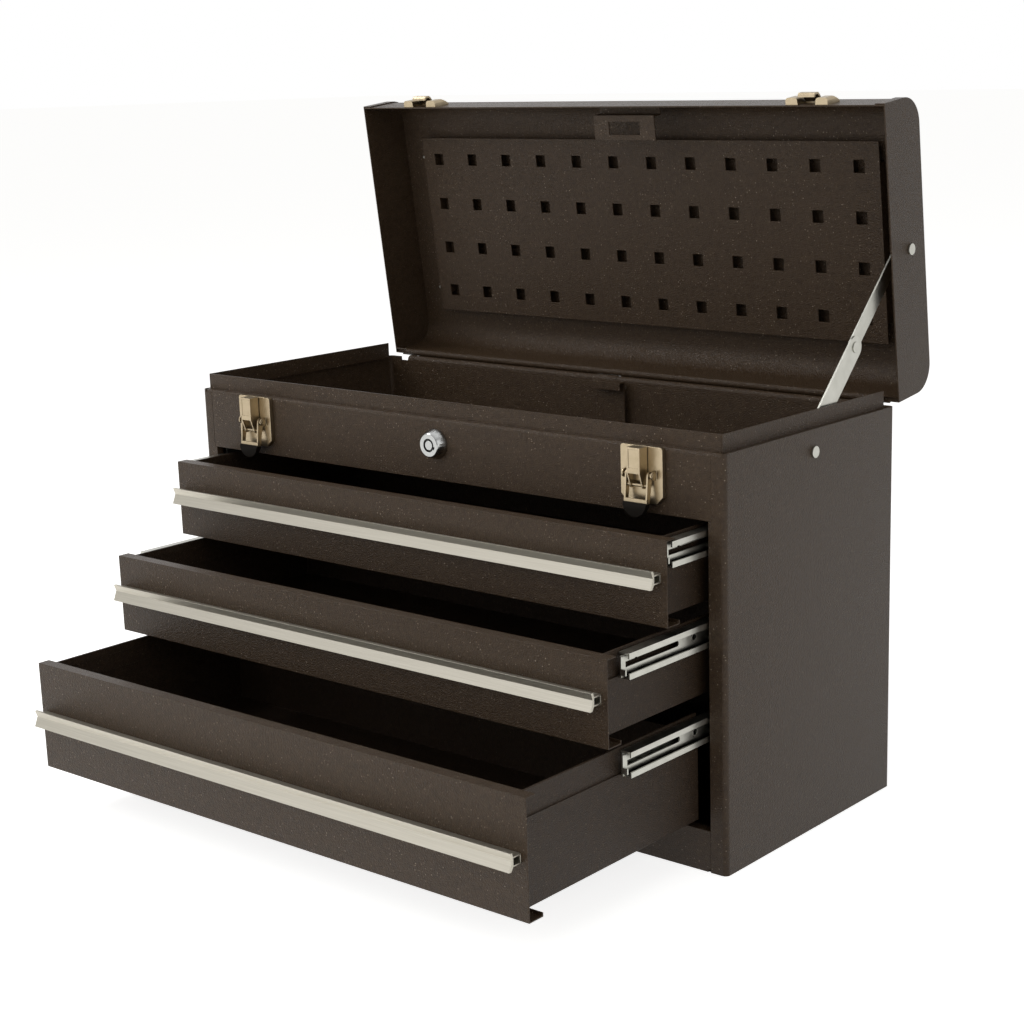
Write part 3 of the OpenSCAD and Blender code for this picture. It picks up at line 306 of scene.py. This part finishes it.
def plated_steel(name, bright, dull, roughness, cloud_mm):
    """Plated strip: a metal whose brightness clouds over, with painted shade in its folds, and
    rolling lines.
    """
    made, tree = empty_material(name)
    place = add(tree, "ShaderNodeTexCoord").outputs["Object"]
    cloud = add(tree, "ShaderNodeTexNoise",
                {"Vector": place, "Scale": 1000 / cloud_mm, "Detail": 3.0})
    clouded = add(tree, "ShaderNodeMix",
                  {0: cloud.outputs["Fac"], 6: linear(dull), 7: linear(bright)},
                  data_type="RGBA")
    # Painted shade: ambient occlusion darkens the metal in its folds and recesses
    fold_occlusion = add(tree, "ShaderNodeAmbientOcclusion", {"Distance": FOLD_SHADE_MM / 1000},
                  samples=8, only_local=True)
    unshaded = add(tree, "ShaderNodeMapRange",
                   {"Value": fold_occlusion.outputs["AO"],
                    "From Min": FOLD_SHADE_RANGE[0], "From Max": FOLD_SHADE_RANGE[1]})
    fold_shaded = add(tree, "ShaderNodeMix",
               {0: unshaded.outputs[0], 6: linear(FOLD_SHADE), 7: clouded.outputs[2]},
               data_type="RGBA")
    drawn = add(tree, "ShaderNodeMapping", {"Vector": place, "Scale": ROLL_STRETCH})
    lines = add(tree, "ShaderNodeTexNoise",
                {"Vector": drawn.outputs[0], "Scale": 1000 / ROLL_LINE_MM, "Detail": 1.0})
    relief = add(tree, "ShaderNodeBump",
                 {"Height": lines.outputs["Fac"], "Strength": 0.08,
                  "Distance": ROLL_LINE_DEEP_MM / 1000})
    gloss = add(tree, "ShaderNodeMapRange",
                {"Value": cloud.outputs["Fac"],
                 "To Min": roughness + PLATE_GLOSS_SPREAD[0],
                 "To Max": roughness + PLATE_GLOSS_SPREAD[1]})
    metal = add(tree, "ShaderNodeBsdfPrincipled",
                {"Base Color": fold_shaded.outputs[2], "Metallic": 1.0, "Roughness": gloss.outputs[0],
                 "Normal": relief.outputs[0]})
    add(tree, "ShaderNodeOutputMaterial", {"Surface": metal.outputs[0]})
    return made


zinc_plate = plated_steel("zinc-plated strip", bright="#c9c8c0", dull="#a5a49b",
                          roughness=0.30, cloud_mm=9.0)

dress(["slide_posts", "cabinet_rails_left", "cabinet_rails_right"], zinc_plate, STRIP_EDGE_MM)
for level in ("top", "middle", "bottom"):
    dress([f"runner_{level}_left", f"runner_{level}_right", f"{level}_drawer_rails"],
          zinc_plate, STRIP_EDGE_MM)


# The lid: a wrapped shell with a plate welded into each end, a perforated board on two
# stand-off channels inside, and the lock's strike; sprayed with the cabinet.

BOARD_EDGE_MM = 0.3

dress(["lid_shell", "lid_cap_left", "lid_cap_right", "lock_strike"], brown_coat, SHEET_EDGE_MM)
dress(["tool_board", "tool_board_channels"], brown_coat, BOARD_EDGE_MM)


# The hinge: leaves with rolled knuckles, spot welded to the cabinet's back and sprayed with
# it, and a plated wire pin that runs through them and the lid's rolled edge.

HINGE_EDGE_MM = 0.3
# The coat builds up on the knuckles and shuts the slit that is left beside the lid's own
KNUCKLE_COAT_MM = 0.25

dress(["hinge_leaves"], brown_coat, HINGE_EDGE_MM)
thick_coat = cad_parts["hinge_leaves"].modifiers.new("coat on the knuckles", "DISPLACE")
thick_coat.strength = KNUCKLE_COAT_MM / 1000
thick_coat.mid_level = 0.0
dress(["hinge_pin"], zinc_plate, HINGE_EDGE_MM)


# The drawer lock: a flat steel bar that slides in two folded guides on the cabinet's back
# wall and drops behind the drawers when the lid shuts. Both are sprayed with the cabinet.

BAR_EDGE_MM = 0.3

dress(["lock_bar", "lock_bar_guides"], brown_coat, BAR_EDGE_MM)


# The stay: two links of plated strip on the right-hand side, riveted to the cabinet, to the
# lid and to each other, that hold the lid just short of upright.

LINK_EDGE_MM = 0.3

dress(["stay_lower_link", "stay_upper_link"], zinc_plate, LINK_EDGE_MM)
dress(["stay_rivet_lower", "stay_rivet_upper", "stay_elbow_rivet"], zinc_plate, LINK_EDGE_MM)


# Four small rivets beside the tool board hold its channels to the lid. They are of plated steel
# with low round heads, set after the lid was sprayed, so they stay pale.

# The head's radius, straight edge and height, in metres as its places are
RIVET_R = 0.0013
RIVET_EDGE = 0.0002
RIVET_TALL = 0.0008
RIVET_RINGS = 6
RIVET_TURNS = 24
# From the board's ends outwards, from its middle plane back to the lid, and along the lid
BESIDE_BOARD = 0.0078
BEHIND_BOARD = 0.0077
RIVET_ALONG = 0.0576
# The open lid stands this far short of upright, so it leans to the front as it goes up
LID_LEANS = math.radians(7)

board_low, board_high = (Vector(corner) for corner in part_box("tool_board"))
along_lid = Vector((0, -math.sin(LID_LEANS), math.cos(LID_LEANS)))
out_of_lid = Vector((0, -math.cos(LID_LEANS), -math.sin(LID_LEANS)))


def rivet_head(name, foot, axis):
    """A low dome on a short straight edge, standing on foot along axis."""
    profile = [(RIVET_R, 0.0)]
    for at in range(RIVET_RINGS + 1):
        turn = math.pi / 2 * at / RIVET_RINGS
        rise = RIVET_EDGE + (RIVET_TALL - RIVET_EDGE) * math.sin(turn)
        profile.append((RIVET_R * math.cos(turn), rise))
    mesh = bmesh.new()
    edges = []
    points = [mesh.verts.new((r, 0, h)) for r, h in profile]
    for first, second in zip(points, points[1:]):
        edges.append(mesh.edges.new((first, second)))
    bmesh.ops.spin(mesh, geom=points + edges, cent=(0, 0, 0), axis=(0, 0, 1),
                   angle=math.tau, steps=RIVET_TURNS)
    bmesh.ops.remove_doubles(mesh, verts=mesh.verts, dist=WELD_MM / 1000)
    rim = [edge for edge in mesh.edges if edge.is_boundary]
    bmesh.ops.contextual_create(mesh, geom=rim)
    bmesh.ops.recalc_face_normals(mesh, faces=mesh.faces)
    # All but the flat underside, which is the one face with more than four corners
    for face in mesh.faces:
        face.smooth = len(face.verts) < 5
    data = bpy.data.meshes.new(name)
    mesh.transform(Matrix.Translation(foot) @ axis.to_track_quat("Z", "Y").to_matrix().to_4x4())
    mesh.to_mesh(data)
    mesh.free()
    data.materials.append(zinc_plate)
    head = bpy.data.objects.new(name, data)
    bpy.context.scene.collection.objects.link(head)
    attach(head, "lid")


lid_at_board = (board_low + board_high) / 2 - out_of_lid * BEHIND_BOARD
for side, across in (("left", -1), ("right", 1)):
    for end, way in (("low", -1), ("high", 1)):
        foot = lid_at_board + along_lid * (way * RIVET_ALONG)
        foot.x = across * (board_high.x + BESIDE_BOARD)
        rivet_head(f"board_rivet_{side}_{end}", foot, out_of_lid)


# The draw latches: stamped from strip, nickel plated and fixed to the front and the lid, a warm
# grey that is brighter where it clouds less, with a tab of black vinyl on each lever. Vinyl
# takes a fine grain from its mould, so it shines very little.

LATCH_EDGE_MM = 0.3
STUB_EDGE_MM = 0.2
VINYL_EDGE_MM = 0.4
# Drawn as coarse as it needs to show
GRAIN_MM = 0.6
GRAIN_DEEP_MM = 0.2
VINYL_DARK = "#14110e"
VINYL_WORN = "#1f1b17"
VINYL_SHEEN = 0.06

nickel_plate = plated_steel("nickel-plated strip", bright="#b9a98f", dull="#988a70",
                            roughness=0.34, cloud_mm=6.0)

for side in ("left", "right"):
    dress([f"latch_plate_{side}", f"latch_lever_{side}", f"latch_hasp_{side}",
           f"latch_strike_{side}"], nickel_plate, LATCH_EDGE_MM)
dress(["latch_stubs"], nickel_plate, STUB_EDGE_MM)

black_vinyl, tree = empty_material("black vinyl")
place = add(tree, "ShaderNodeTexCoord").outputs["Object"]
grain = add(tree, "ShaderNodeTexNoise", {"Vector": place, "Scale": 1000 / GRAIN_MM, "Detail": 2.0})
relief = add(tree, "ShaderNodeBump",
             {"Height": grain.outputs["Fac"], "Strength": 0.2, "Distance": GRAIN_DEEP_MM / 1000})
grained = add(tree, "ShaderNodeMix",
              {0: grain.outputs["Fac"], 6: linear(VINYL_DARK), 7: linear(VINYL_WORN)},
              data_type="RGBA")
vinyl = add(tree, "ShaderNodeBsdfPrincipled",
            {"Base Color": grained.outputs[2], "Roughness": 0.45, "IOR": 1.46,
             "Specular IOR Level": VINYL_SHEEN, "Normal": relief.outputs[0]})
add(tree, "ShaderNodeOutputMaterial", {"Surface": vinyl.outputs[0]})

dress(["latch_tab_left", "latch_tab_right"], black_vinyl, VINYL_EDGE_MM)


# The lock: a turned housing and plug, chrome plated and so the brightest metal on the chest,
# held in the front panel by a plated nut, with a hooked cam on the plug's end.

chrome_plate = plated_steel("chrome plate", bright="#b4b5b4", dull="#9fa09f",
                            roughness=0.18, cloud_mm=8.0)

dress(["lock_body", "lock_plug"], chrome_plate, STRIP_EDGE_MM)
dress(["lock_nut", "lock_cam"], zinc_plate, STRIP_EDGE_MM)


# The drawers: a folded front and a tray of the cabinet's sheet, and a full-width pull cut
# from extruded aluminium, satin anodised, so pale and soft with fine lines along it.

PULL_EDGE_MM = 0.25
# The die's lines run along X; they are drawn this far apart so that they show
DIE_LINE_MM = 0.5
DIE_STRETCH = (0.01, 1.0, 1.0)
DIE_LINE_DEEP_MM = 0.1
ALLOY_WARM = "#aba699"
ALLOY_PALE = "#c8c3b7"

satin_alloy, tree = empty_material("satin anodised aluminium")
place = add(tree, "ShaderNodeTexCoord").outputs["Object"]
drawn = add(tree, "ShaderNodeMapping", {"Vector": place, "Scale": DIE_STRETCH})
lines = add(tree, "ShaderNodeTexNoise",
            {"Vector": drawn.outputs[0], "Scale": 1000 / DIE_LINE_MM, "Detail": 2.0})
lined = add(tree, "ShaderNodeMix",
            {0: lines.outputs["Fac"], 6: linear(ALLOY_WARM), 7: linear(ALLOY_PALE)},
            data_type="RGBA")
relief = add(tree, "ShaderNodeBump",
             {"Height": lines.outputs["Fac"], "Strength": 0.12,
              "Distance": DIE_LINE_DEEP_MM / 1000})
alloy = add(tree, "ShaderNodeBsdfPrincipled",
            {"Base Color": lined.outputs[2], "Metallic": 1.0, "Roughness": 0.42,
             "Normal": relief.outputs[0]})
add(tree, "ShaderNodeOutputMaterial", {"Surface": alloy.outputs[0]})

for level in ("top", "middle", "bottom"):
    dress([f"{level}_drawer_front"], brown_coat, SHEET_EDGE_MM)
    # The trays take the darker copy of the coat, whose darkness is painted shade
    dress([f"{level}_drawer_tray"], shadow_coat, SHEET_EDGE_MM)
    dress([f"{level}_drawer_pull"], satin_alloy, PULL_EDGE_MM)


# The carrying handle on the lid's top: a wire bail that swings in two folded brackets, both
# zinc plated, with a grip of black vinyl moulded round its middle.

dress(["handle_brackets", "handle_bail"], zinc_plate, STRIP_EDGE_MM)
dress(["handle_grip"], black_vinyl, VINYL_EDGE_MM)
